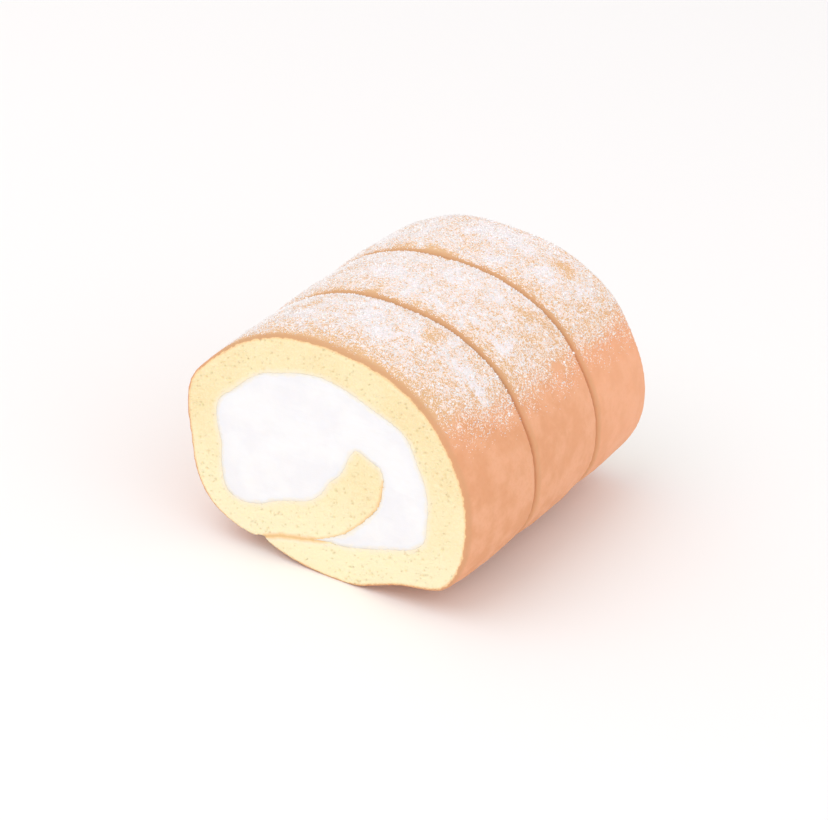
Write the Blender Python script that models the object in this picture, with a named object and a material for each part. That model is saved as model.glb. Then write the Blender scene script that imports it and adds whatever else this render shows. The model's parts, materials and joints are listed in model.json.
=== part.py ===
"""A sponge roll cake, filled with whipped cream and cut into three thick slices.

Metres, +Z up. The roll's axis runs along Y, its front cut face looks towards -Y,
and the origin is under the middle of the cake, on the surface that it stands on.
"""
import bpy
import bmesh
import math
from mathutils import Vector, noise

MM = 0.001

# Driving dimensions, in millimetres
CUTS = (0.0, 33.3, 71.1, 104.0)       # cut planes, measured from the front face
WIDTHS = (96.1, 98.9, 101.5, 101.0)   # width of the roll at each cut plane
HEIGHTS = (74.8, 75.8, 74.6, 74.0)    # height of the roll at each cut plane
SHIFTS = (-0.8, 1.8, 0.4, 0.0)        # how far each cut plane lies to the right
FOOT_HEIGHT = 30.0                    # below this the cuts differ less and less from the front
KERF = 0.5                            # gap that the knife left between two slices
EDGE_ROUND = 1.3                      # rounding of the crust where it meets a cut
EDGE_STEPS = 2                        # faces across that rounding
UNDER_ROUND = 0.6                     # what is left of it where the weight presses the roll flat
CROWN = 0.7                           # how far a slice swells between its cuts
BODY_STATIONS = (0.3, 0.7)            # stations along a slice, between the roundings
LUMP = 0.45                           # unevenness of the crust
LUMP_LENGTH = 17.0                    # distance from one lump to the next
LUMP_START = 8.0                      # height over which lumps grow above the flat underside
RIPPLE = 0.35                         # unevenness of the crumb where cream lies on it
RIPPLE_LENGTH = 7.0
SEAM_GAP = 0.45                       # between the flap and the curl that lies on it
CREAM_GAP = 0.3                       # between the cream and the sponge
CREAM_RECESS = 0.25                   # how far cream stays behind a cut
WEDGE_OPENING = 1.0                   # cream starts where the curl is this far off the flap
SHEET_POINTS = 100                    # points along the skin of the rolled sheet
END_POINTS = 7                        # points round the inner end of the sheet
NORMAL_REACH = 4                      # points to each side that steady the sheet's thickness
CRUST_RAMP = 7                        # points over which the outer crust comes and goes
TIP_CRUST = 0.3                       # share of outer crust at the flap's tip
FLAP_SHARE = 0.25                     # share of the sheet that holds all of the flap

# The rolled sheet of sponge at the front face: x and z of its browned skin and the
# sheet's thickness there. It starts at the flap's tip and winds anticlockwise.
FLAP = ((-19.4, 4.3, 0.8), (-13.8, 2.4, 4.3), (-6.0, 0.9, 8.6))
UNDERSIDE = ((10.0, 0.0, 12.2), (20.0, 3.4, 11.4), (28.0, 6.3, 11.2), (34.0, 7.6, 11.8))
RIGHT_SIDE = (
    (41.8, 10.0, 13.8), (46.8, 18.4, 12.6), (48.3, 31.0, 12.8),
    (46.6, 42.4, 12.0), (41.0, 54.0, 11.6),
)
TOP = (
    (33.2, 63.8, 10.4), (19.0, 71.9, 11.8), (0.0, 75.0, 9.9),
    (-16.0, 73.6, 10.8), (-29.0, 68.0, 10.2), (-40.0, 58.8, 10.6),
)
LEFT_SIDE = (
    (-46.5, 51.0, 10.3), (-47.8, 43.0, 9.8), (-46.4, 31.0, 10.5), (-44.4, 20.2, 9.5),
    (-38.9, 11.2, 8.2), (-30.8, 6.3, 9.2), (-24.2, 4.6, 11.2),
)
SEAM = ((-20.4, 5.3, 11.3), (-14.4, 7.7, 11.6), (-7.3, 9.3, 12.4), (0.6, 11.5, 12.9))
CURL = ((8.8, 16.3, 14.6), (15.6, 23.6, 15.8), (19.6, 29.4, 15.2), (20.9, 38.0, 13.2))
INNER_END = ((19.6, 42.2), (15.6, 43.9), (10.8, 45.8))

SPONGE_COLOUR = (0.93, 0.80, 0.48, 1.0)
CREAM_COLOUR = (0.96, 0.94, 0.92, 1.0)


def clear_scene():
    for obj in list(bpy.data.objects):
        bpy.data.objects.remove(obj, do_unlink=True)


def material(name, colour, roughness, subsurface):
    made = bpy.data.materials.new(name)
    made.use_nodes = True
    shader = made.node_tree.nodes["Principled BSDF"]
    shader.inputs["Base Color"].default_value = colour
    shader.inputs["Roughness"].default_value = roughness
    shader.inputs["Metallic"].default_value = 0.0
    shader.inputs["Subsurface Weight"].default_value = subsurface
    return made


def spline(rows, steps=24):
    """Points close together on a centripetal curve through all the rows."""
    rows = [Vector(row) for row in rows]
    padded = [rows[0] * 2 - rows[1]] + rows + [rows[-1] * 2 - rows[-2]]
    points = []
    for a, b, c, d in zip(padded, padded[1:], padded[2:], padded[3:]):
        knots = [0.0]
        for start, end in ((a, b), (b, c), (c, d)):
            knots.append(knots[-1] + math.sqrt((end - start).length))
        k0, k1, k2, k3 = knots
        for step in range(steps):
            k = k1 + (k2 - k1) * step / steps
            ab = a * ((k1 - k) / (k1 - k0)) + b * ((k - k0) / (k1 - k0))
            bc = b * ((k2 - k) / (k2 - k1)) + c * ((k - k1) / (k2 - k1))
            cd = c * ((k3 - k) / (k3 - k2)) + d * ((k - k2) / (k3 - k2))
            abc = ab * ((k2 - k) / (k2 - k0)) + bc * ((k - k0) / (k2 - k0))
            bcd = bc * ((k3 - k) / (k3 - k1)) + cd * ((k - k1) / (k3 - k1))
            points.append(abc * ((k2 - k) / (k2 - k1)) + bcd * ((k - k1) / (k2 - k1)))
    points.append(rows[-1])
    return points


def resample(points, count):
    """The same curve with count points at even distances."""
    lengths = [0.0]
    for start, end in zip(points, points[1:]):
        lengths.append(lengths[-1] + (end - start).length)
    even = []
    segment = 0
    for index in range(count):
        target = lengths[-1] * index / (count - 1)
        while segment < len(points) - 2 and lengths[segment + 1] < target:
            segment += 1
        span = lengths[segment + 1] - lengths[segment]
        even.append(points[segment].lerp(points[segment + 1], (target - lengths[segment]) / span))
    return even


def left_normals(points, reach=1):
    """Unit normals to the left of the way along the curve, smoothed over reach points."""
    normals = []
    for index in range(len(points)):
        before = points[max(0, index - reach)]
        after = points[min(len(points) - 1, index + reach)]
        normals.append(Vector((before.y - after.y, after.x - before.x)).normalized())
    return normals


def between(values, y):
    """The value at y, where values holds one for each cut plane."""
    for start, end, low, high in zip(CUTS, CUTS[1:], values, values[1:]):
        if y <= end:
            return low + (high - low) * (y - start) / (end - start)
    return values[-1]


def sheet_at_front():
    """Skin and crumb of the rolled sheet, and how much each skin point is outer crust."""
    rows = FLAP + UNDERSIDE + RIGHT_SIDE + TOP + LEFT_SIDE + SEAM + CURL
    path = resample(spline(rows), SHEET_POINTS)
    skin = [Vector((point.x, max(point.y, 0.0))) for point in path]
    normals = left_normals(skin, reach=NORMAL_REACH)
    crumb = [a + n * row.z for a, n, row in zip(skin, normals, path)]

    mouth = Vector(SEAM[0][:2])
    on_curl = min(
        range(len(skin) // 2, len(skin)), key=lambda index: (skin[index] - mouth).length
    )
    curl = skin[on_curl - NORMAL_REACH:]
    wedge = SEAM[-1][0]
    for index, point in enumerate(crumb[:int(len(crumb) * FLAP_SHARE)]):
        if point.x < wedge:
            crumb[index] = Vector((point.x, height_on(curl, point.x) - SEAM_GAP))
    crust = []
    for index in range(len(skin)):
        begun = TIP_CRUST + index / CRUST_RAMP
        left = max(0.0, (on_curl - index) / CRUST_RAMP)
        crust.append(min(1.0, begun, left))
    return skin, crumb, crust


def height_on(points, x):
    """Height of a curve that runs to the right, above the place x."""
    for start, end in zip(points, points[1:]):
        if start.x <= x <= end.x:
            return start.y + (end.y - start.y) * (x - start.x) / (end.x - start.x)
    return points[0].y


def wedge_indices(skin, crumb):
    """Where the cream starts: the flap's crumb point and the curl's skin point."""
    half = len(skin) // 2
    on_flap = next(
        index for index in range(half)
        if crumb[index].x > SEAM[-1][0]
        and min((crumb[index] - point).length for point in skin[half:]) > WEDGE_OPENING
    )
    on_curl = next(
        index for index in range(half, len(skin))
        if skin[index].x > SEAM[-1][0]
        and min((skin[index] - point).length for point in crumb[:half]) > WEDGE_OPENING
    )
    return on_flap, on_curl


def uneven(point, y, length, seed):
    place = Vector((point.x, y + seed, point.y)) / length
    return noise.noise(place)


def section_at(front, y, swell):
    """The sheet's skin, inner end and crumb at y, where swell moves the crust outwards."""
    skin, crumb, crust = front
    wide = between(WIDTHS, y) / WIDTHS[0]
    high = between(HEIGHTS, y) / HEIGHTS[0]
    shift = between(SHIFTS, y)
    flap_end = int(len(skin) * FLAP_SHARE)

    def placed(point):
        share = min(1.0, point.y / FOOT_HEIGHT)
        share = share * share * (3 - 2 * share)
        x = point.x * (1 + (wide - 1) * share) + SHIFTS[0] + (shift - SHIFTS[0]) * share
        return Vector((x, point.y * high + UNDER_ROUND))

    moved_skin = []
    for point, normal, share in zip(skin, left_normals(skin, reach=3), crust):
        lump = LUMP * min(1.0, point.y / LUMP_START) * swell / EDGE_ROUND
        out = swell + lump * uneven(point, y, LUMP_LENGTH, 0.0)
        at = placed(point) - normal * out * share
        moved_skin.append(Vector((at.x, max(at.y, 0.0))))
    moved_crumb = []
    for index, (point, normal) in enumerate(zip(crumb, left_normals(crumb, reach=3))):
        ripple = RIPPLE * uneven(point, y, RIPPLE_LENGTH, 50.0) if index > flap_end else 0.0
        moved_crumb.append(placed(point) + normal * ripple)
    tip = [placed(Vector(point)) for point in INNER_END]
    inner_end = resample(spline([moved_skin[-1], *tip, moved_crumb[-1]]), END_POINTS + 2)[1:-1]
    return moved_skin, inner_end, moved_crumb


def sponge_ring(section):
    skin, inner_end, crumb = section
    return skin + inner_end + crumb[::-1]


def cream_ring(section, wedge):
    """The space that the sheet winds round, kept a small gap inside the sponge."""
    skin, inner_end, crumb = section
    on_flap, on_curl = wedge
    edge = crumb[on_flap:] + inner_end[::-1] + skin[on_curl:][::-1]
    closed = [edge[-1]] + edge + [edge[0]]
    normals = left_normals(closed)[1:-1]
    return [point + normal * CREAM_GAP for point, normal in zip(edge, normals)]


def in_space(ring, y):
    middle = (CUTS[0] + CUTS[-1]) / 2
    return [Vector((point.x, y - middle, point.y)) * MM for point in ring]


def loft(name, rings, made_of):
    """A closed solid, extruded from the first ring through all the others."""
    mesh = bpy.data.meshes.new(name)
    shape = bmesh.new()
    face = shape.faces.new([shape.verts.new(point) for point in rings[0]])
    for place, ring in enumerate(rings[1:]):
        grown = bmesh.ops.extrude_face_region(shape, geom=[face])["geom"]
        if place > 0:
            bmesh.ops.delete(shape, geom=[face], context="FACES_ONLY")
        face = next(item for item in grown if isinstance(item, bmesh.types.BMFace))
        for corner, point in zip(face.verts, ring):
            corner.co = point
    caps = [item for item in shape.faces if len(item.verts) > 4]
    bmesh.ops.triangulate(shape, faces=caps)
    bmesh.ops.recalc_face_normals(shape, faces=shape.faces)
    shape.to_mesh(mesh)
    shape.free()
    mesh.shade_smooth()
    mesh.set_sharp_from_angle(angle=math.radians(40))
    mesh.materials.append(made_of)
    obj = bpy.data.objects.new(name, mesh)
    bpy.context.collection.objects.link(obj)
    return obj


def sponge_stations(start, end):
    """Pairs of y and swell, with a quarter round at both cuts of a slice."""
    rounding = []
    for step in range(EDGE_STEPS + 1):
        turn = math.pi / 2 * step / EDGE_STEPS
        rounding.append((EDGE_ROUND * (1 - math.cos(turn)), EDGE_ROUND * math.sin(turn)))
    body = []
    for share in BODY_STATIONS:
        y = start + (end - start) * share
        body.append((y, EDGE_ROUND + CROWN * math.sin(math.pi * share)))
    near = [(start + depth, swell) for depth, swell in rounding]
    far = [(end - depth, swell) for depth, swell in reversed(rounding)]
    return near + body + far


def cream_stations(start, end):
    inside = [start + (end - start) * share for share in BODY_STATIONS]
    return [start + CREAM_RECESS, *inside, end - CREAM_RECESS]


def build_slice(name, start, end, front, wedge, sponge, cream):
    rings = [
        in_space(sponge_ring(section_at(front, y, swell)), y)
        for y, swell in sponge_stations(start, end)
    ]
    loft(name + "_slice_sponge", rings, sponge)
    rings = [
        in_space(cream_ring(section_at(front, y, EDGE_ROUND), wedge), y)
        for y in cream_stations(start, end)
    ]
    loft(name + "_slice_cream", rings, cream)


def main():
    clear_scene()
    sponge = material("sponge", SPONGE_COLOUR, 0.85, 0.1)
    cream = material("cream", CREAM_COLOUR, 0.45, 0.2)
    skin, crumb, crust = sheet_at_front()
    front = (skin, crumb, crust)
    wedge = wedge_indices(skin, crumb)
    for name, start, end in zip(("front", "middle", "back"), CUTS, CUTS[1:]):
        near = start + (KERF / 2 if start > CUTS[0] else 0.0)
        far = end - (KERF / 2 if end < CUTS[-1] else 0.0)
        build_slice(name, near, far, front, wedge, sponge, cream)


main()
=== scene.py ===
import json
import math
from statistics import NormalDist

import bpy
import bmesh
import numpy as np
from mathutils import Matrix, Vector, noise
from mathutils.kdtree import KDTree

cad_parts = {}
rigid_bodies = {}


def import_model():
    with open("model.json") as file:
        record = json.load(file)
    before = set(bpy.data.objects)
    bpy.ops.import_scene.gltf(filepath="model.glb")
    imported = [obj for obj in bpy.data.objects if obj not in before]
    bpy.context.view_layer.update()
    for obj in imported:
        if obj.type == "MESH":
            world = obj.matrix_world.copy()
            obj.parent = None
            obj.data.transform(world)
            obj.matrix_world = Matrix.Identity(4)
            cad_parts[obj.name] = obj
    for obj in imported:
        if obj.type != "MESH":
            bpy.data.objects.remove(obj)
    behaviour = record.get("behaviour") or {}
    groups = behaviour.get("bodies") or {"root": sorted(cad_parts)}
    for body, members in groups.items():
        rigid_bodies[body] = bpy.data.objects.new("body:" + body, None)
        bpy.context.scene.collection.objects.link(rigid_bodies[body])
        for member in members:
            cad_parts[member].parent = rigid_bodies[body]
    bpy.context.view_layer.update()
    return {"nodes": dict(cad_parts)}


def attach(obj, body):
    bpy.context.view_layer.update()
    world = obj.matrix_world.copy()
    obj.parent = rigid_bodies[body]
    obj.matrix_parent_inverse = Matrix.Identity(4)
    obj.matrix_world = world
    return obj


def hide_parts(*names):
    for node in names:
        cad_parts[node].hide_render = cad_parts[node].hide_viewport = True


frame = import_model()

MM = 0.001
SLICES = ("front", "middle", "back")

# The sheet of sponge, as it shows on a cut
SKIN_START = (-20.2 * MM, 4.9 * MM)     # the flap's tip, in x and z
SKIN_END = (0.716, 0.507)       # where the skin ends, as shares of the cut's width and height
ROLLED_IN = 0.826               # share of the skin, from the flap's tip, at the seam's mouth
ROLLED_IN_BLEND = 0.006         # share to each side over which the skin's colour changes there
EDGE_ROUND = 1.3 * MM           # radius of the rounded edge round an end of the cake
CRUST_STARTS = 0.8              # radians round that edge at which the crumb turns to crust
LOOP_STEP = 0.15 * MM           # spacing of the points that distances are measured to
BINS = 8                        # steps along a slice in which the outline is followed
SAME_PLACE = 0.01 * MM          # points closer than this are one
FLAT_BAND = 0.3 * MM            # a point this close to a cut plane lies on the cut
INSIDE = 10 * MM                # depth given to what lies inside, away from the skin

# Meshes of the sponge
SPONGE_VOXEL = 0.77 * MM
FINE_BAND = 1.0 * MM            # a cut that shows gets a finer mesh this far behind its plane
FINE_HEIGHT = 54 * MM           # so does the crust above this height
FINE_FACING = 0.3               # for faces that look out of the cut, or up, by this share
FINE_TILT = 0.8                 # and, on the crust, along the roll by less than this
SQUARE_DEPTH = 0.5 * MM         # the crumb is square at the cream: up to this far below a cut
SQUARE_WIDTH = 1.2 * MM         # and this far from the cream
TABLE_KEEP = 0.5 * MM           # the underside isn't smoothed up to this height
EDGE_KEEP = (0.6 * MM, 3.0 * MM)        # nor the crust this close to a cut
CRUST_SMOOTHS = 24
SMOOTHING = 0.5                 # share of the way that one smoothing moves a point

# Meshes of the cream
CREAM_VOXEL = 0.7 * MM
CREAM_SMOOTHS = 2
CREAM_SWELL = 0.8 * MM          # closes the gap that the solids keep
CREAM_SIDES = (0.75, 0.98)      # share of looking along the roll over which that fades out
CREAM_CREASE = 55               # degrees: an edge sharper than this stays sharp
CREAM_FLANGE = 1.15 * MM        # depth over which its rim is drawn level with the cut
CREAM_PROUD = 0.03 * MM         # how far it stands over the cut there
CREAM_DIP = 0.14 * MM           # how far its very edge turns down into the crumb
CREAM_DIPS_OVER = (0.1 * MM, 0.35 * MM)     # past the crumb's edge
WEDGE_FROM = -15.0 * MM         # the cream's thin end lies to the right of this
WEDGE_TOP = 17.0 * MM           # and below this height at x = 0
WEDGE_SLOPE = 0.45              # how fast that height and its middle rise to the right
WEDGE_REACH = 7.0 * MM          # length over which it is drawn thinner
WEDGE_TIP = 1.0 * MM            # length of its tip, whose height sets the middle
WEDGE_PULL = (-4.0 * MM, -1.3 * MM)     # how far its tip is drawn into the seam, in x and z
WEDGE_THIN = 0.85               # share of its height that the tip loses

# Relief: the size and detail of its clouds, its height, and the level that stays put
WRINKLES = (5 * MM, 3, 0.3 * MM, 0.5)
OPEN_CRUMB = (0.9 * MM, 2, 0.4 * MM, 0.6)
POWDER = (0.8 * MM, 2, 0.3 * MM, 0.25)
WHIPPED = (9 * MM, 2, 0.7 * MM, 0.5)
SMEARS = (2.2 * MM, 2, 0.22 * MM, 0.5)
# Distances over which it comes in: from a cut, the table, the skin, the cream and its rim
FROM_CUT = (0.3 * MM, 2 * MM)
FROM_TABLE = (0.8 * MM, 2.5 * MM)
FROM_SKIN = (0, 1.0 * MM)
FROM_CREAM = (0.6 * MM, 1.7 * MM)
FROM_RIM = (0.8 * MM, 3.5 * MM)

# Pores in the crumb that shows on a cut
PORES_EACH = 300
PORE_SEEDS = {"front": 5, "middle": 6, "back": 4}
PORE_RADIUS = (0.28 * MM, 0.75 * MM)
PORE_SKEW = 2.5                 # the higher, the more small pores there are for a large one
PORE_DEPTH = 0.5 * MM
PORE_BAND = 1.2 * MM            # how far behind its plane a cut's points are looked for
PORE_KEEP = (0.9 * MM, 1.1 * MM)        # least distance from the skin, and from the cream

# Icing sugar: share of the crust that it covers
SUGAR_HEIGHTS = (50.8, 54.3, 60.3, 65.3, 72.3, 78.3)    # mm above the table, at the front
SUGAR_COVER = (0.0, 0.10, 0.37, 0.62, 0.72, 0.82)
SUGAR_SINKS = 3.5               # mm that the heights come down towards the roll's back
SUGAR_FACING = 0.35             # it lies fully where the crust faces up by this much
SUGAR_ENDS = 0.9                # share of the skin past which there is none
MOST_SUGAR = 0.97
THIN_CHANGE = 2.2               # thin sugar varies by its cover times this, at most
ROLL_LENGTH = 104               # mm
EDGE_DISTANCES = (0.5, 0.9, 1.4, 2.2, 3.1, 4.3, 6.0, 8.5, 14.0)     # mm behind a front cut
EDGE_COVER = {
    "front": (0.0, 0.02, 0.12, 0.34, 0.50, 0.64, 0.77, 0.87, 1.0),
    "middle": (0.0, 0.08, 0.50, 0.72, 0.80, 0.86, 0.91, 0.95, 1.0),
    "back": (0.0, 0.08, 0.54, 0.76, 0.84, 0.89, 0.93, 0.96, 1.0),
}
# What makes the sugar uneven: length of the waves in mm, where they start, and their height
LIMIT_WAVES = (7.0, 0.0, 2.4)
BAND_WAVES = (5.0, 7.0, 0.3)
BAND_FRAY = (1.6, 5.0, 0.3)
WIDE_DRIFTS = (9.0, 3.0, 0.16)
SMALL_DRIFTS = (3.2, 9.0, 0.22)
PATCH_WAVES = (3.5, 20.0, 0.45)
# Dense patches and thin ones: x, y, z and radius in mm, and what they add to the cover
SUGAR_PATCHES = (
    (-4, 41, 77, 7, 0.2), (4, 43, 77, 6, 0.2), (11, 41, 77, 5, 0.1), (8, 27, 77, 6, 0.08),
    (24, 33, 73, 6, 0.18), (34, 40, 68, 6, 0.15), (-10, -3, 78, 6, 0.12), (4, 7, 78, 7, 0.12),
    (3, -12, 79, 5, 0.2), (11, -12, 78, 5, 0.16), (20, 11, 75, 5, 0.1), (23, -7, 75, 5, 0.12),
    (32, -9, 70, 6, 0.2), (0, -29, 79, 5, 0.18), (7, -36, 78, 6, 0.2), (15, -30, 77, 5, 0.14),
    (33, -30, 69, 7, 0.24), (39, -30, 64, 5, 0.18), (-20, 22, 75, 5, -0.35), (-10, 21, 77, 5, -0.4),
    (-4, 21, 77, 5, -0.3), (26, 42, 72, 5, -0.35), (21, 41, 74, 4, -0.2), (-8, -16, 79, 4, -0.4),
    (29, 9, 71, 6, -0.3), (33, 16, 69, 5, -0.2), (1, -43, 78, 5, -0.15), (19, -26, 76, 6, -0.42),
    (36, 4, 67, 5, -0.15), (22, -38, 75, 5, -0.12), (-22, -30, 76, 6, -0.2), (-30, 4, 72, 6, -0.25),
    (-34, 34, 68, 6, 0.2), (-33, -24, 69, 5, 0.2), (45, 6, 60, 6, -0.25),
)
PATCH_DROP = 0.7                # mm that the crust lies below the heights in that list
PATCH_CORE = 0.35               # share of its radius over which a patch is at its full
# Loose sugar: name, first seed, count, radius, how much it keeps to the thick sugar, and faces
LOOSE_SUGAR = (
    ("grains", 11, 20000, 0.12 * MM, 1.5, 8),
    ("clumps", 31, 2400, 0.19 * MM, 2.4, 20),
)
SIZE_SPREAD = 0.35
SIZE_LIMITS = (0.5, 2.2)
SHAPE_SPREAD = (0.75, 1.25)
STANDS_OUT = 0.35               # share of its radius by which a lump's middle is off the crust

# Colours of the crumb
CRUMB, CRUMB_LIGHT = (250, 228, 178), (252, 234, 188)
# Painted light: paler crumb low down, lifting the shade that the light from above leaves there
CRUMB_PAINTED_LIGHT_LOW = (255, 245, 206)
# Painted highlight on the raised crumb between the holes
CRUMB_PAINTED_HIGHLIGHT = (254, 246, 212)
# Painted shade in the crumb's holes and pores
CRUMB_HOLE_SHADE = (246, 218, 158)
CRUMB_PORE_SHADE = (242, 208, 148)
CRUMB_BY_CREAM = (254, 240, 216)
CRUMB_UNDER_CRUST = (250, 212, 160)
# Of the crust
CRUST, CRUST_LIGHT = (228, 164, 123), (237, 176, 138)
CRUST_FRECKLES = (222, 154, 108)
CRUST_BACK = (252, 184, 146)
CRUST_TOP = (224, 186, 142)
# Painted shade: darker crust in a band behind each cut, the shade of the groove where slices meet
GROOVE_SHADE, GROOVE_SHADE_TOP = (218, 162, 120), (208, 160, 118)
CRUST_ROLLED_IN = (238, 200, 146)
# Of the sugar, the cream and the floor
SUGAR_THIN, SUGAR_THICK = (254, 226, 206), (255, 246, 250)
LOOSE, LOOSE_LIGHT = (255, 249, 249), (255, 254, 254)
CREAM, CREAM_LIGHT = (243, 242, 245), (248, 247, 249)
CREAM_RIM = (255, 244, 226)
FLOOR, FLOOR_LIGHT = (245, 243, 243), (247, 245, 245)

# Noises in the materials: size and detail, then roughness and warp where they differ
CRUMB_CLOUDS = (14 * MM, 3.0)
FINE_CRUMB = (0.55 * MM, 3.0, 0.65)
HOLE_GROUPS = (2.2 * MM, 2.0)
CRUST_CLOUDS = (8 * MM, 3.0, 0.55)
FRECKLES = (1.1 * MM, 3.0, 0.65)
STREAKS = (0.95 * MM, 2.0, 0.6, 1.2)
SPECKS = (0.5 * MM, 1.0)
LOOSE_CLOUDS = (1.5 * MM, 2.0)
CREAM_CLOUDS = (12 * MM, 3.0)
CREAM_DRAG = (1.1 * MM, 4.0, 0.6)
CREAM_FINE = (0.6 * MM, 2.0)
FLOOR_CLOUDS = (0.4, 2.0)
TONES = (0.35, 0.65)            # part of a noise over which one tone turns into the other
TORN = (0.3, 0.7)               # and over which it tears a step
# Steps that are torn: the noise's size and detail, and the least and most mm that it adds
CRUST_TEARS = (1.5 * MM, 3.0, -0.35, 0.0)
SOAKED_TEARS = (2.5 * MM, 3.0, -0.5, 0.5)
RIM_TEARS = (3 * MM, 2.0, -0.4, 0.4)

# Where each tint starts and ends, and its share at both
# The tint by height is painted light low on the crumb
PAINTED_LIGHT_LOW_SPAN = (8 * MM, 44 * MM, 0.85, 0.0)         # by height above the table
# The tint by the fine noise is a painted highlight where the crumb's relief stands high
PAINTED_HIGHLIGHT_SPAN = (0.4, 0.65, 0.0, 0.35)             # by the fine noise
SOAKED_SPAN = (0.1, 2.2, 0.75, 0.0)             # by mm from the cream
FRECKLES_SPAN = (0.45, 0.65, 0.0, 0.2)          # by their noise
BACK_SPAN = (-20 * MM, 50 * MM, 0.0, 0.45)      # by place along the roll
TOP_SPAN = (0.2, 0.7, 0.0, 0.8)                 # by how far on the roll's top
# The band by mm behind a cut is painted shade along the cut
GROOVE_SHADE_SPAN = (0.6, 2.8, 0.85, 0.0)               # by mm behind a cut
CRUST_SPAN = (0.0, 0.3)                         # by mm under the skin: the crust's end
UNDER_CRUST_SPAN = (0.1, 1.35)                  # and that of the tint below it
RIM_SPAN = (-0.2, 1.3, 0.85, 0.0)               # by mm from the cream's rim
# How strongly painted shade darkens the holes and the pores
HOLE_SHADE_SHARE, PORE_SHADE_SHARE = 0.22, 0.4

# Holes in the crumb: their size, how deep each is, where they gather, and where they begin
HOLE_SIZE = 0.95 * MM
HOLE_SPAN = (0.08, 0.3, 1.0, 0.0)
GROUPS_SPAN = (0.42, 0.6)
HOLES_UNDER_SKIN = (0.3, 1.0, 0.0, 0.8)
FINE_UNDER_SKIN = (0.0, 1.0, 0.4, 1.0)

# How the sugar shows on the crust
STREAKS_SHARE, SPECKS_SHARE = 0.72, 0.28
NOISE_MIDDLE, NOISE_SPREAD = 0.5, 0.085         # of those two, to read them as a normal noise
POWDER_FROM = 0.25              # level over that noise at which half of it shows
POWDER_SOFT = 0.3               # softness of its edges, to each side
POWDER_THICK = (0.2, 2.2)       # levels over which it grows thick
BARE_COVER = 0.04               # where the cover is under this, it thins out to nothing

# Stage: name, place, size and power of each light, and the light from all round
LIGHTS = (
    ("key", (-0.5, -0.7, 1.6), 1.8, 9.0),
    ("fill", (1.3, -0.6, 1.0), 1.8, 4.5),
)
LIT_POINT = (0, 0, 0.04)
ROOM_COLOUR = (1.0, 0.99, 0.985, 1)
ROOM_STRENGTH = 0.86
FLOOR_SIZE = 6.0

# Camera: where the middle of the picture looks, and from how far
CAMERA_TARGET = (28.8 * MM, -52.0 * MM, 65.8 * MM)
CAMERA_DISTANCE = 850.7 * MM
CAMERA_AZIMUTH, CAMERA_ELEVATION, CAMERA_ROLL = 30.0, 29.0, 3.0
CAMERA_LENS, CAMERA_SENSOR = 130.4, 36.0
CAMERA_NEAR = 0.05


def pick(*objects):
    bpy.ops.object.select_all(action="DESELECT")
    for obj in objects:
        obj.select_set(True)
    bpy.context.view_layer.objects.active = objects[0]


def edit(obj, mode="FACE"):
    pick(obj)
    bpy.ops.object.mode_set(mode="EDIT")
    bpy.ops.mesh.select_mode(type=mode)
    bpy.ops.mesh.select_all(action="DESELECT")


def leave_edit():
    bpy.ops.object.mode_set(mode="OBJECT")


def select_faces(obj, rule):
    """Selects the faces for which rule(centre, normal) holds; the object is in edit mode."""
    shape = bmesh.from_edit_mesh(obj.data)
    for face in shape.faces:
        face.select_set(rule(face.calc_center_median(), face.normal))
    bmesh.update_edit_mesh(obj.data)


def modify(obj, kind, **settings):
    """Adds a modifier, sets it up and applies it."""
    pick(obj)
    modifier = obj.modifiers.new(kind.title(), kind)
    for name, value in settings.items():
        setattr(modifier, name, value)
    bpy.ops.object.modifier_apply(modifier=modifier.name)


def copy_node(node, name):
    """A merged copy of a CAD node, free of its body."""
    pick(frame["nodes"][node])
    bpy.ops.object.duplicate(linked=False)
    piece = bpy.context.object
    bpy.ops.object.parent_clear(type="CLEAR_KEEP_TRANSFORM")
    piece.name = name
    piece.data.name = name
    edit(piece, "VERT")
    bpy.ops.mesh.select_all(action="SELECT")
    bpy.ops.mesh.remove_doubles(threshold=SAME_PLACE)
    leave_edit()
    piece.data.materials.clear()
    return piece


def coordinates(mesh):
    flat = np.empty(len(mesh.vertices) * 3, np.float32)
    mesh.vertices.foreach_get("co", flat)
    return flat.reshape(-1, 3).astype(float)


def move_points(mesh, points):
    mesh.vertices.foreach_set("co", points.astype(np.float32).ravel())
    mesh.update()


def normals(mesh):
    flat = np.empty(len(mesh.vertices) * 3, np.float32)
    mesh.vertex_normals.foreach_get("vector", flat)
    return flat.reshape(-1, 3).astype(float)


def set_attribute(mesh, name, values):
    layer = mesh.attributes.get(name) or mesh.attributes.new(name, "FLOAT", "POINT")
    layer.data.foreach_set("value", np.asarray(values, np.float32))


def set_group(obj, name, weights, steps=20):
    """A vertex group, its weights rounded to that many steps."""
    group = obj.vertex_groups.new(name=name)
    rounded = np.round(np.clip(weights, 0, 1) * steps).astype(int)
    for step in range(1, steps + 1):
        chosen = np.nonzero(rounded == step)[0].tolist()
        if chosen:
            group.add(chosen, step / steps, "REPLACE")


def drop_groups(obj):
    for group in list(obj.vertex_groups):
        obj.vertex_groups.remove(group)


def smoothstep(low, high, values):
    share = np.clip((values - low) / (high - low), 0, 1)
    return share * share * (3 - 2 * share)


def waves(points, length, start, height):
    """Smooth noise at each point, up and down by that height, with features of that length."""
    shift = Vector((start, start, start))
    return np.array([noise.noise(Vector(point) / length + shift) for point in points]) * height


# The outline of the sheet on a cut

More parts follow.
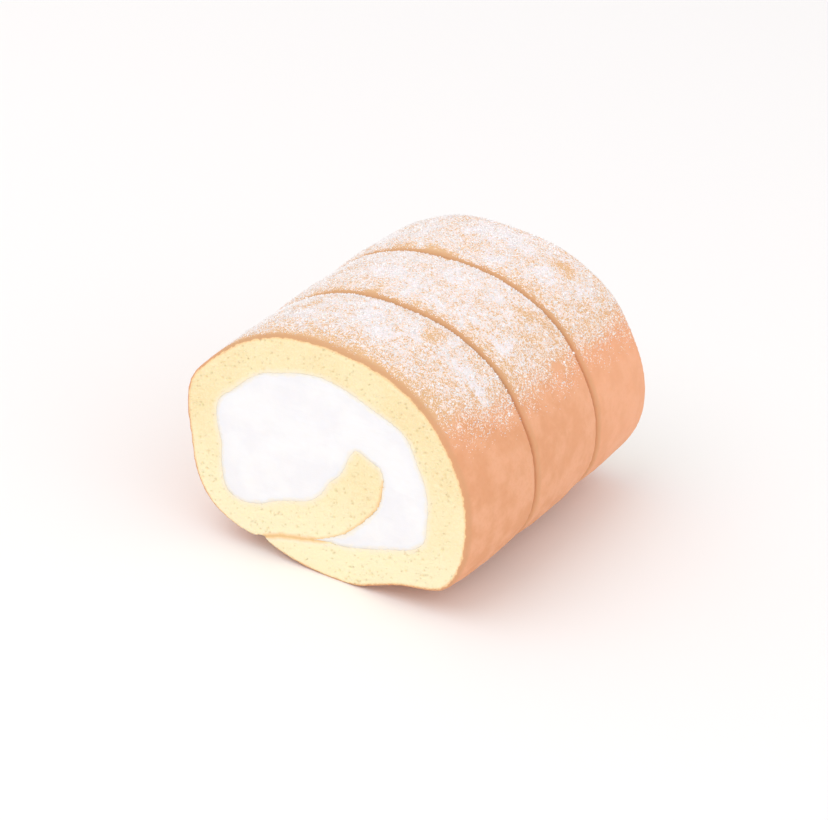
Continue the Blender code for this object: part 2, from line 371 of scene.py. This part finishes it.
def cut_loop(mesh, plane):
    """The outline of the cut at y = plane, as points in order."""
    on_plane = {v.index for v in mesh.vertices if abs(v.co.y - plane) < SAME_PLACE}
    faces_on = {}
    for polygon in mesh.polygons:
        flat = all(index in on_plane for index in polygon.vertices)
        for key in polygon.edge_keys:
            faces_on.setdefault(key, []).append(flat)
    beside = {}
    for (a, b), flats in faces_on.items():
        if a in on_plane and b in on_plane and sorted(flats) == [False, True]:
            beside.setdefault(a, []).append(b)
            beside.setdefault(b, []).append(a)
    start = min(beside)
    loop, last, here = [start], None, start
    while True:
        following = next(index for index in beside[here] if index != last)
        if following == start:
            break
        loop.append(following)
        last, here = here, following
    return np.array([mesh.vertices[index].co for index in loop])[:, (0, 2)]


def sheet_outlines(mesh, plane):
    """The skin's points from the flap's tip to the inner end, and the crumb's points."""
    loop = cut_loop(mesh, plane)
    start = int(np.argmin(np.hypot(*(loop - SKIN_START).T)))
    loop = np.roll(loop, -start, axis=0)
    if loop[1, 1] > loop[-1, 1]:
        loop = np.roll(loop[::-1], 1, axis=0)
    share = (loop - loop.min(axis=0)) / np.ptp(loop, axis=0)
    end = int(np.argmin(np.hypot(*(share - SKIN_END).T)))
    return loop[:end + 1], np.vstack([loop[end:], loop[:1]])


def even_points(outline):
    steps = np.hypot(*np.diff(outline, axis=0).T)
    along = np.concatenate([[0], np.cumsum(steps)])
    places = np.linspace(0, along[-1], int(along[-1] / LOOP_STEP))
    xs = np.interp(places, along, outline[:, 0])
    zs = np.interp(places, along, outline[:, 1])
    return np.stack([xs, zs], axis=1), places / along[-1]


def tree_of(outline):
    points, shares = even_points(outline)
    tree = KDTree(len(points))
    for index, (x, z) in enumerate(points):
        tree.insert((x, 0.0, z), index)
    tree.balance()
    return tree, shares


class Sheet:
    """Where the skin and the crumb of one slice run, from its front cut to its back one."""

    def __init__(self, mesh):
        ys = coordinates(mesh)[:, 1]
        self.front, self.back = ys.min(), ys.max()
        skin_a, crumb_a = sheet_outlines(mesh, self.front)
        skin_b, crumb_b = sheet_outlines(mesh, self.back)
        count = min(len(skin_a), len(skin_b))
        other = min(len(crumb_a), len(crumb_b))
        self.trees, self.loops = [], []
        for index in range(BINS):
            share = index / (BINS - 1)
            skin = skin_a[:count] * (1 - share) + skin_b[:count] * share
            crumb = crumb_a[:other] * (1 - share) + crumb_b[:other] * share
            self.trees.append((tree_of(skin), tree_of(crumb)))
            self.loops.append(np.vstack([skin, crumb[1:-1]]))

    def bins(self, points):
        share = (points[:, 1] - self.front) / (self.back - self.front)
        return np.clip(np.round(share * (BINS - 1)), 0, BINS - 1).astype(int)

    def inside(self, points):
        """Whether each point, seen along the roll, lies within the outline of the cut."""
        result = np.zeros(len(points), bool)
        steps = self.bins(points)
        for step, loop in enumerate(self.loops):
            chosen = steps == step
            x, z = points[chosen, 0][:, None], points[chosen, 2][:, None]
            x1, z1 = loop.T
            x2, z2 = np.roll(loop, -1, axis=0).T
            spans = (z1 > z) != (z2 > z)
            with np.errstate(divide="ignore", invalid="ignore"):
                crosses = x < x1 + (z - z1) * (x2 - x1) / (z2 - z1)
            result[chosen] = (spans & crosses).sum(axis=1) % 2 == 1
        return result

    def measure(self, points):
        """Each point's distance to the skin and to the crumb, and its share along the skin."""
        to_skin, to_crumb, along = np.empty((3, len(points)))
        for index, ((x, y, z), step) in enumerate(zip(points, self.bins(points))):
            (skin, shares), (crumb, _) = self.trees[step]
            _, nearest, to_skin[index] = skin.find((x, 0.0, z))
            _, _, to_crumb[index] = crumb.find((x, 0.0, z))
            along[index] = shares[nearest]
        return to_skin, to_crumb, along


# Sponge

# The level that a normal noise stays under for each share of its area
COVER_STEPS = np.linspace(0.0, 1.0, 41)
COVER_LEVELS = [
    NormalDist().inv_cdf(min(max(share, 0.0005), 0.9995)) for share in COVER_STEPS
]


def describe_sponge(piece, sheet, name):
    """Attributes for the finish: depth under the skin, distance to the cream, and sugar."""
    points = coordinates(piece.data)
    facing = normals(piece.data)
    to_skin, to_crumb, along = sheet.measure(points)
    within = sheet.inside(points)
    from_front = points[:, 1] - sheet.front
    from_back = sheet.back - points[:, 1]
    on_cut = np.minimum(from_front, from_back) < FLAT_BAND
    outside = (to_skin < to_crumb) & ~(on_cut & within)
    rolled_in = smoothstep(ROLLED_IN - ROLLED_IN_BLEND, ROLLED_IN + ROLLED_IN_BLEND, along)
    depth = np.where(outside, 0.0, np.where(on_cut, to_skin, INSIDE))
    if name in ("front", "back"):
        from_shown = from_front if name == "front" else from_back
        angle = np.where(outside, np.arccos(np.clip(1 - from_shown / EDGE_ROUND, 0, 1)), 0.0)
        over_edge = EDGE_ROUND * np.maximum(CRUST_STARTS - angle, 0) * (1 - rolled_in)
        depth += np.where(from_shown < EDGE_ROUND, over_edge, 0.0)
    set_attribute(piece.data, "depth", depth / MM)
    set_attribute(piece.data, "from_cream", np.where(on_cut & within, to_crumb, INSIDE) / MM)
    set_attribute(piece.data, "from_edge", np.minimum(from_front, INSIDE) / MM)
    set_attribute(piece.data, "rolled_in", rolled_in)

    top, cover = sugar_cover(points / MM, from_front / MM, name)
    set_attribute(piece.data, "top", top)
    cover *= smoothstep(0.0, SUGAR_FACING, facing[:, 2])
    cover *= np.where(outside & (along < SUGAR_ENDS), 1.0, 0.0)
    set_attribute(piece.data, "cover", cover)
    set_attribute(piece.data, "level", np.interp(cover, COVER_STEPS, COVER_LEVELS))
    return dict(points=points, on_cut=on_cut, within=within, outside=outside, depth=depth,
                from_cream=to_crumb, cover=cover)


def sugar_cover(points, from_front, name):
    """How far a point is on the roll's top, and the share of the crust under sugar there."""
    back_share = np.clip(points[:, 1] / ROLL_LENGTH + 0.5, 0, 1)
    height = points[:, 2] + SUGAR_SINKS * back_share + waves(points, *LIMIT_WAVES)
    top = np.interp(height, SUGAR_HEIGHTS, SUGAR_COVER)
    ragged = from_front * (1 + waves(points, *BAND_WAVES)) + waves(points, *BAND_FRAY)
    cover = top * np.interp(ragged, EDGE_DISTANCES, EDGE_COVER[name])
    change = waves(points, *WIDE_DRIFTS) + waves(points, *SMALL_DRIFTS)
    uneven = 1 + waves(points, *PATCH_WAVES)
    for x, y, z, radius, amount in SUGAR_PATCHES:
        away = np.linalg.norm(points - (x, y, z - PATCH_DROP), axis=1)
        change += amount * smoothstep(radius, radius * PATCH_CORE, away * uneven)
    cover += change * np.minimum(1.0, cover * THIN_CHANGE)
    return top, np.clip(cover, 0.0, MOST_SUGAR)


def displace(piece, name, relief, group):
    """Raises and lowers the group's points by clouds of the relief's size and height."""
    size, detail, height, level = relief
    texture = bpy.data.textures.new(name, "CLOUDS")
    texture.noise_scale = size
    texture.noise_depth = detail
    modify(piece, "DISPLACE", texture=texture, texture_coords="LOCAL", strength=height,
           mid_level=level, vertex_group=group)


def make_sponge(name):
    piece = copy_node(name + "_slice_sponge", name + "_sponge")
    sheet = Sheet(piece.data)
    modify(piece, "REMESH", mode="VOXEL", voxel_size=SPONGE_VOXEL)
    refine(piece, sheet, name)

    points = coordinates(piece.data)
    to_skin, to_crumb, _ = sheet.measure(points)
    by_cream = to_crumb < np.minimum(to_skin, SQUARE_WIDTH)
    for plane in (sheet.front, sheet.back):
        points[by_cream & (np.abs(points[:, 1] - plane) < SQUARE_DEPTH), 1] = plane
    move_points(piece.data, points)
    inner = np.minimum(points[:, 1] - sheet.front, sheet.back - points[:, 1])
    crust = (to_skin < to_crumb) & (points[:, 2] > TABLE_KEEP)
    set_group(piece, "smooth", np.where(crust, smoothstep(*EDGE_KEEP, inner), 0))
    modify(piece, "SMOOTH", factor=SMOOTHING, iterations=CRUST_SMOOTHS, vertex_group="smooth")

    facts = describe_sponge(piece, sheet, name)
    off_cut = smoothstep(*FROM_CUT, inner)
    off_table = smoothstep(*FROM_TABLE, facts["points"][:, 2])
    crumb = facts["on_cut"] & facts["within"]
    off_skin = smoothstep(*FROM_SKIN, facts["depth"])
    off_cream = smoothstep(*FROM_CREAM, facts["from_cream"])
    set_group(piece, "crust", np.where(facts["outside"], off_cut * off_table, 0))
    set_group(piece, "crumb", np.where(crumb, off_skin * off_cream, 0))
    set_group(piece, "sugar", facts["cover"])
    displace(piece, "wrinkles", WRINKLES, "crust")
    displace(piece, "open crumb", OPEN_CRUMB, "crumb")
    displace(piece, "powder", POWDER, "sugar")
    press_pores(piece, sheet, facts, crumb, name)
    drop_groups(piece)
    pick(piece)
    bpy.ops.object.shade_smooth()
    return piece, sheet


def refine(piece, sheet, name):
    """A finer mesh on the crust that takes sugar, and on the cut that shows."""
    plane, side = {"front": (sheet.front, -1), "back": (sheet.back, 1)}.get(name, (0.0, 0))

    def wanted(at, facing):
        on_cut = facing.y * side > FINE_FACING and abs(at.y - plane) < FINE_BAND
        on_top = facing.z > FINE_FACING and abs(facing.y) < FINE_TILT
        return on_cut or (on_top and at.z > FINE_HEIGHT)

    edit(piece)
    select_faces(piece, wanted)
    bpy.ops.mesh.subdivide(number_cuts=1)
    leave_edit()


def press_pores(piece, sheet, facts, crumb, name):
    """Small round hollows in the crumb of both cuts, with their share kept for the painted shade in
    them.
    """
    points = coordinates(piece.data)
    pore = np.zeros(len(points))
    rng = np.random.default_rng(PORE_SEEDS[name])
    least, most = PORE_RADIUS
    allowed = crumb & (facts["depth"] > PORE_KEEP[0]) & (facts["from_cream"] > PORE_KEEP[1])
    for plane, inwards in ((sheet.front, 1), (sheet.back, -1)):
        near = np.nonzero(crumb & (np.abs(points[:, 1] - plane) < PORE_BAND))[0]
        tree = KDTree(len(near))
        for index in near:
            tree.insert(points[index], int(index))
        tree.balance()
        centres = rng.choice(near[allowed[near]], PORES_EACH)
        for centre in centres:
            radius = least + (most - least) * rng.random() ** PORE_SKEW
            for _, index, away in tree.find_range(points[centre], radius):
                share = (1 - (away / radius) ** 2) ** 2
                if share > pore[index]:
                    deeper = (share - pore[index]) * min(PORE_DEPTH, radius)
                    points[index, 1] += inwards * deeper
                    pore[index] = share
    move_points(piece.data, points)
    set_attribute(piece.data, "pore", pore)


# Cream

def make_cream(name, sheet):
    piece = copy_node(name + "_slice_cream", name + "_cream")
    modify(piece, "REMESH", mode="VOXEL", voxel_size=CREAM_VOXEL)
    modify(piece, "SMOOTH", factor=SMOOTHING, iterations=CREAM_SMOOTHS)
    cut = np.abs(normals(piece.data)[:, 1])
    set_group(piece, "sides", 1 - smoothstep(*CREAM_SIDES, cut))
    modify(piece, "DISPLACE", strength=CREAM_SWELL, mid_level=0.0, vertex_group="sides")

    points = coordinates(piece.data)
    to_skin, to_crumb, _ = sheet.measure(points)
    from_rim = np.minimum(to_skin, to_crumb) * np.where(sheet.inside(points), -1, 1)
    for plane, side in ((sheet.front, -1), (sheet.back, 1)):
        near = np.abs(points[:, 1] - plane) < CREAM_FLANGE
        turned_down = CREAM_DIP * smoothstep(*CREAM_DIPS_OVER, -from_rim[near])
        points[near, 1] = plane + side * (CREAM_PROUD - turned_down)
    move_points(piece.data, points)
    draw_wedge(piece)
    set_attribute(piece.data, "from_rim", from_rim / MM)
    set_group(piece, "open", smoothstep(*FROM_RIM, from_rim))
    displace(piece, "whipped", WHIPPED, "open")
    displace(piece, "smears", SMEARS, "open")
    drop_groups(piece)
    pick(piece)
    bpy.ops.object.shade_smooth_by_angle(angle=math.radians(CREAM_CREASE))
    return piece


def draw_wedge(piece):
    """Draws the thin end of the cream into the seam under the curl."""
    points = coordinates(piece.data)
    x, z = points[:, 0], points[:, 2]
    wedge = (x > WEDGE_FROM) & (z < WEDGE_TOP + WEDGE_SLOPE * x)
    tip = x[wedge].min()
    middle = z[wedge & (x < tip + WEDGE_TIP)].mean() + WEDGE_SLOPE * (x - tip)
    share = np.where(wedge, 1 - smoothstep(0, WEDGE_REACH, x - tip), 0)
    points[:, 2] = middle + (z - middle) * (1 - WEDGE_THIN * share) + share * WEDGE_PULL[1]
    points[:, 0] = x + share * WEDGE_PULL[0]
    move_points(piece.data, points)


# Loose icing sugar

def scatter(carrier, name, seed, count, radius, power, faces_each):
    """Small lumps on the crust, thick where the sugar is: one mesh, nothing instanced."""
    mesh = carrier.data
    mesh.calc_loop_triangles()
    corners = np.array([t.vertices[:] for t in mesh.loop_triangles])
    cover = np.empty(len(mesh.vertices), np.float32)
    mesh.attributes["cover"].data.foreach_get("value", cover)
    points, facing = coordinates(mesh), normals(mesh)
    a, b, c = points[corners[:, 0]], points[corners[:, 1]], points[corners[:, 2]]
    area = np.linalg.norm(np.cross(b - a, c - a), axis=1) / 2
    chance = area * cover[corners].mean(axis=1) ** power
    rng = np.random.default_rng(seed)
    picked = rng.choice(len(corners), size=count, p=chance / chance.sum())
    u, v = rng.random((2, count))
    flip = u + v > 1
    u[flip], v[flip] = 1 - u[flip], 1 - v[flip]
    at = a[picked] + (b - a)[picked] * u[:, None] + (c - a)[picked] * v[:, None]
    out = facing[corners[picked, 0]]
    sizes = radius * rng.lognormal(0.0, SIZE_SPREAD, count).clip(*SIZE_LIMITS)
    lump, faces = lump_shape(faces_each)
    turned = np.transpose(random_turns(rng, count) @ lump.T, (0, 2, 1))
    stretch = sizes[:, None] * rng.uniform(*SHAPE_SPREAD, (count, 3))
    centre = at + out * (sizes * STANDS_OUT)[:, None]
    everything = (turned * stretch[:, None, :] + centre[:, None, :]).reshape(-1, 3)
    offsets = np.arange(count) * len(lump)
    polygons = (faces[None] + offsets[:, None, None]).reshape(-1, 3)
    return mesh_from(name, everything, polygons)


def lump_shape(faces_each):
    """A grain of 8 triangles, or a clump of 20, taken from a primitive."""
    if faces_each == 8:
        bpy.ops.mesh.primitive_cone_add(vertices=4, radius1=1, depth=1.5, end_fill_type="TRIFAN")
    else:
        bpy.ops.mesh.primitive_ico_sphere_add(subdivisions=1, radius=1)
    obj = bpy.context.object
    lump = coordinates(obj.data)
    obj.data.calc_loop_triangles()
    faces = np.array([t.vertices[:] for t in obj.data.loop_triangles])
    bpy.ops.object.delete()
    return lump, faces


def random_turns(rng, count):
    """Rotation matrices spread evenly over all directions."""
    q = rng.normal(size=(count, 4))
    w, x, y, z = (q / np.linalg.norm(q, axis=1)[:, None]).T
    return np.stack([
        1 - 2 * (y * y + z * z), 2 * (x * y - z * w), 2 * (x * z + y * w),
        2 * (x * y + z * w), 1 - 2 * (x * x + z * z), 2 * (y * z - x * w),
        2 * (x * z - y * w), 2 * (y * z + x * w), 1 - 2 * (x * x + y * y),
    ], axis=1).reshape(count, 3, 3)


def mesh_from(name, points, triangles):
    mesh = bpy.data.meshes.new(name)
    mesh.vertices.add(len(points))
    mesh.vertices.foreach_set("co", points.astype(np.float32).ravel())
    mesh.loops.add(len(triangles) * 3)
    mesh.loops.foreach_set("vertex_index", triangles.astype(np.int32).ravel())
    mesh.polygons.add(len(triangles))
    starts = np.arange(0, len(triangles) * 3, 3, dtype=np.int32)
    mesh.polygons.foreach_set("loop_start", starts)
    mesh.update(calc_edges=True)
    mesh.validate()
    obj = bpy.data.objects.new(name, mesh)
    bpy.context.collection.objects.link(obj)
    return obj


# Materials

def linear(colour):
    """An sRGB colour, 0 to 255, as a shader takes it."""
    def channel(value):
        value /= 255
        return value / 12.92 if value <= 0.04045 else ((value + 0.055) / 1.055) ** 2.4
    return (*map(channel, colour), 1.0)


class Nodes:
    """Short names for adding and joining a material's nodes."""

    def __init__(self, name):
        self.material = bpy.data.materials.new(name)
        self.material.use_nodes = True
        self.tree = self.material.node_tree
        self.shader = self.tree.nodes["Principled BSDF"]
        self.place = self.add("ShaderNodeTexCoord").outputs["Object"]

    def add(self, kind, **settings):
        node = self.tree.nodes.new(kind)
        for name, value in settings.items():
            setattr(node, name, value)
        return node

    def put(self, socket, value):
        if isinstance(value, bpy.types.NodeSocket):
            self.tree.links.new(value, socket)
        else:
            socket.default_value = value

    def read(self, name):
        return self.add("ShaderNodeAttribute", attribute_name=name).outputs["Fac"]

    def noise(self, size, detail=2.0, roughness=0.5, warp=0.0, place=None):
        node = self.add("ShaderNodeTexNoise")
        self.put(node.inputs["Vector"], place or self.place)
        node.inputs["Scale"].default_value = 1 / size
        node.inputs["Detail"].default_value = detail
        node.inputs["Roughness"].default_value = roughness
        node.inputs["Distortion"].default_value = warp
        return node.outputs["Fac"]

    def cells(self, size):
        node = self.add("ShaderNodeTexVoronoi")
        self.put(node.inputs["Vector"], self.place)
        node.inputs["Scale"].default_value = 1 / size
        return node.outputs["Distance"]

    def math(self, operation, a, b):
        node = self.add("ShaderNodeMath", operation=operation)
        self.put(node.inputs[0], a)
        self.put(node.inputs[1], b)
        return node.outputs[0]

    def span(self, value, low, high, to_low=0.0, to_high=1.0, smooth=True):
        kind = "SMOOTHSTEP" if smooth else "LINEAR"
        node = self.add("ShaderNodeMapRange", interpolation_type=kind)
        self.put(node.inputs["Value"], value)
        node.inputs["From Min"].default_value = low
        node.inputs["From Max"].default_value = high
        node.inputs["To Min"].default_value = to_low
        node.inputs["To Max"].default_value = to_high
        return node.outputs["Result"]

    def ragged(self, value, size, detail, low, high):
        """The value plus a noise from low to high, so that its steps look torn."""
        torn = self.span(self.noise(size, detail), *TORN, low, high, smooth=False)
        return self.math("ADD", value, torn)

    def mix(self, share, first, second):
        node = self.add("ShaderNodeMix", data_type="RGBA")
        self.put(node.inputs[0], share)
        self.put(node.inputs[6], first)
        self.put(node.inputs[7], second)
        return node.outputs[2]

    def tones(self, clouds, first, second):
        """Two colours in soft clouds."""
        share = self.span(self.noise(*clouds), *TONES)
        return self.mix(share, linear(first), linear(second))

    def tint(self, under, share, colour):
        return self.mix(share, under, linear(colour))

    def bump(self, height, distance, strength, under=None):
        node = self.add("ShaderNodeBump")
        node.inputs["Strength"].default_value = strength
        node.inputs["Distance"].default_value = distance
        self.put(node.inputs["Height"], height)
        if under is not None:
            self.put(node.inputs["Normal"], under)
        return node.outputs["Normal"]

    def finish(self, colour, roughness, normal=None):
        self.put(self.shader.inputs["Base Color"], colour)
        self.put(self.shader.inputs["Roughness"], roughness)
        if normal is not None:
            self.put(self.shader.inputs["Normal"], normal)
        return self.material

    def soft(self, weight, radius, scale, gloss):
        self.shader.inputs["Subsurface Weight"].default_value = weight
        self.shader.inputs["Subsurface Radius"].default_value = radius
        self.shader.inputs["Subsurface Scale"].default_value = scale
        self.shader.inputs["Specular IOR Level"].default_value = gloss


def crumb_colour(n, place, fine, holes):
    """Pale yellow, with painted light low down, a painted highlight on its raised crumb, painted
    shade in its holes and pores, and soaked beside the cream.
    """
    crumb = n.tones(CRUMB_CLOUDS, CRUMB, CRUMB_LIGHT)
    # Painted light: the crumb made paler low down
    crumb = n.tint(crumb, n.span(place.outputs["Z"], *PAINTED_LIGHT_LOW_SPAN), CRUMB_PAINTED_LIGHT_LOW)
    # Painted highlight where the fine relief stands high
    crumb = n.tint(crumb, n.span(fine, *PAINTED_HIGHLIGHT_SPAN), CRUMB_PAINTED_HIGHLIGHT)
    # Painted shade in the holes and the pressed pores
    crumb = n.tint(crumb, n.math("MULTIPLY", holes, HOLE_SHADE_SHARE), CRUMB_HOLE_SHADE)
    crumb = n.tint(crumb, n.math("MULTIPLY", n.read("pore"), PORE_SHADE_SHARE), CRUMB_PORE_SHADE)
    soaked = n.ragged(n.read("from_cream"), *SOAKED_TEARS)
    return n.tint(crumb, n.span(soaked, *SOAKED_SPAN), CRUMB_BY_CREAM)


def crust_colour(n, place):
    """Orange-brown, golden on top, with painted shade in a band behind a cut, and pale where rolled
    in.
    """
    crust = n.tones(CRUST_CLOUDS, CRUST, CRUST_LIGHT)
    crust = n.tint(crust, n.span(n.noise(*FRECKLES), *FRECKLES_SPAN), CRUST_FRECKLES)
    crust = n.tint(crust, n.span(place.outputs["Y"], *BACK_SPAN), CRUST_BACK)
    golden = n.span(n.read("top"), *TOP_SPAN)
    crust = n.tint(crust, golden, CRUST_TOP)
    # Painted shade in a band behind each cut
    groove_shade = n.mix(golden, linear(GROOVE_SHADE), linear(GROOVE_SHADE_TOP))
    crust = n.mix(n.span(n.read("from_edge"), *GROOVE_SHADE_SPAN), crust, groove_shade)
    return n.tint(crust, n.read("rolled_in"), CRUST_ROLLED_IN)


def sugar_layer(n):
    """The share of the crust under sugar, in streaks and specks, and how thick it lies."""
    level = n.read("level")
    streaks = n.math("MULTIPLY", n.noise(*STREAKS), STREAKS_SHARE)
    specks = n.math("MULTIPLY", n.noise(*SPECKS), SPECKS_SHARE)
    grain = n.math("SUBTRACT", n.math("ADD", streaks, specks), NOISE_MIDDLE)
    grain = n.math("DIVIDE", grain, NOISE_SPREAD)
    above = n.math("SUBTRACT", n.math("SUBTRACT", level, POWDER_FROM), grain)
    powder = n.span(above, -POWDER_SOFT, POWDER_SOFT)
    powder = n.math("MULTIPLY", powder, n.span(n.read("cover"), 0.0, BARE_COVER))
    return powder, n.span(n.math("SUBTRACT", level, grain), *POWDER_THICK)


def sponge_finish():
    """Yellow crumb, a browned skin on it, and icing sugar on top of that."""
    n = Nodes("sponge and crust")
    place = n.add("ShaderNodeSeparateXYZ")
    n.put(place.inputs[0], n.place)
    fine = n.noise(*FINE_CRUMB)
    holes = n.span(n.cells(HOLE_SIZE), *HOLE_SPAN)
    holes = n.math("MULTIPLY", holes, n.span(n.noise(*HOLE_GROUPS), *GROUPS_SPAN))
    crumb = crumb_colour(n, place, fine, holes)
    crust = crust_colour(n, place)

    depth = n.ragged(n.read("depth"), *CRUST_TEARS)
    crumb = n.mix(n.span(depth, *UNDER_CRUST_SPAN), linear(CRUMB_UNDER_CRUST), crumb)
    cake = n.mix(n.span(depth, *CRUST_SPAN), crust, crumb)
    powder, thick = sugar_layer(n)
    colour = n.mix(powder, cake, n.mix(thick, linear(SUGAR_THIN), linear(SUGAR_THICK)))

    holes = n.math("MULTIPLY", holes, n.span(depth, *HOLES_UNDER_SKIN))
    fine = n.math("MULTIPLY", fine, n.span(depth, *FINE_UNDER_SKIN))
    relief = n.bump(n.math("SUBTRACT", fine, holes), distance=0.3 * MM, strength=0.7)
    lumps = n.math("MULTIPLY", thick, powder)
    relief = n.bump(lumps, distance=0.25 * MM, strength=0.5, under=relief)
    n.soft(weight=0.12, radius=(1.0, 0.6, 0.35), scale=1.5 * MM, gloss=0.25)
    return n.finish(colour, roughness=0.8, normal=relief)


def cream_finish():
    """White, a little warm at its rim, with faint marks dragged across the cut."""
    n = Nodes("whipped cream")
    colour = n.tones(CREAM_CLOUDS, CREAM, CREAM_LIGHT)
    rim = n.ragged(n.read("from_rim"), *RIM_TEARS)
    colour = n.tint(colour, n.span(rim, *RIM_SPAN), CREAM_RIM)
    dragged = n.add("ShaderNodeMapping")
    n.put(dragged.inputs["Vector"], n.place)
    dragged.inputs["Rotation"].default_value = (0, math.radians(18), 0)
    dragged.inputs["Scale"].default_value = (0.12, 1.0, 1.0)
    drag = n.math("MULTIPLY", n.noise(*CREAM_DRAG, place=dragged.outputs["Vector"]), 0.7)
    fine = n.math("MULTIPLY", n.noise(*CREAM_FINE), 0.3)
    relief = n.bump(n.math("ADD", drag, fine), distance=0.2 * MM, strength=0.5)
    n.soft(weight=0.35, radius=(1.0, 0.9, 0.8), scale=3 * MM, gloss=0.4)
    return n.finish(colour, roughness=0.5, normal=relief)


def loose_sugar_finish():
    n = Nodes("icing sugar")
    n.soft(weight=0.2, radius=(1.0, 0.9, 0.9), scale=0.5 * MM, gloss=0.3)
    return n.finish(n.tones(LOOSE_CLOUDS, LOOSE, LOOSE_LIGHT), roughness=0.75)


# Stage

def make_stage():
    bpy.ops.mesh.primitive_plane_add(size=FLOOR_SIZE, location=(0, 0, 0))
    floor = bpy.context.object
    floor.name = "floor"
    n = Nodes("pale floor")
    colour = n.mix(n.noise(*FLOOR_CLOUDS), linear(FLOOR), linear(FLOOR_LIGHT))
    floor.data.materials.append(n.finish(colour, roughness=0.9))


def add_light(name, place, size, power):
    light = bpy.data.lights.new(name, "AREA")
    light.shape = "DISK"
    light.size = size
    light.energy = power
    obj = bpy.data.objects.new(name, light)
    bpy.context.collection.objects.link(obj)
    obj.location = place
    obj.rotation_mode = "QUATERNION"
    obj.rotation_quaternion = (Vector(LIT_POINT) - Vector(place)).to_track_quat("-Z", "Y")


def make_lights():
    world = bpy.data.worlds.new("studio")
    world.use_nodes = True
    background = world.node_tree.nodes["Background"]
    background.inputs["Color"].default_value = ROOM_COLOUR
    background.inputs["Strength"].default_value = ROOM_STRENGTH
    bpy.context.scene.world = world
    for name, place, size, power in LIGHTS:
        add_light(name, place, size, power)
    bpy.context.scene.view_settings.view_transform = "Standard"


def make_camera():
    angles = (CAMERA_AZIMUTH, CAMERA_ELEVATION, CAMERA_ROLL)
    azimuth, elevation, roll = map(math.radians, angles)
    back = Vector((math.sin(azimuth) * math.cos(elevation),
                   -math.cos(azimuth) * math.cos(elevation), math.sin(elevation)))
    right = Vector((math.cos(azimuth), math.sin(azimuth), 0))
    up = back.cross(right)
    rolled_right = right * math.cos(roll) + up * math.sin(roll)
    rolled_up = up * math.cos(roll) - right * math.sin(roll)
    data = bpy.data.cameras.new("camera")
    data.lens = CAMERA_LENS
    data.sensor_width = CAMERA_SENSOR
    data.clip_start = CAMERA_NEAR
    camera = bpy.data.objects.new("camera", data)
    bpy.context.collection.objects.link(camera)
    turn = np.array([rolled_right, rolled_up, back]).T
    camera.rotation_mode = "QUATERNION"
    camera.rotation_quaternion = Matrix(turn.tolist()).to_quaternion()
    camera.location = Vector(CAMERA_TARGET) + back * CAMERA_DISTANCE
    bpy.context.scene.camera = camera


def main():
    make_camera()
    make_stage()
    make_lights()
    sponge_look = sponge_finish()
    cream_look = cream_finish()
    sugar_look = loose_sugar_finish()
    for index, name in enumerate(SLICES):
        sponge, sheet = make_sponge(name)
        sponge.data.materials.append(sponge_look)
        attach(sponge, "root")
        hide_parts(name + "_slice_sponge")

        cream = make_cream(name, sheet)
        cream.data.materials.append(cream_look)
        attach(cream, "root")
        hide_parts(name + "_slice_cream")

        for kind, seed, count, radius, power, faces_each in LOOSE_SUGAR:
            sugar = scatter(sponge, name + "_sugar_" + kind, seed + index, count, radius, power,
                            faces_each)
            sugar.data.materials.append(sugar_look)
            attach(sugar, "root")


main()
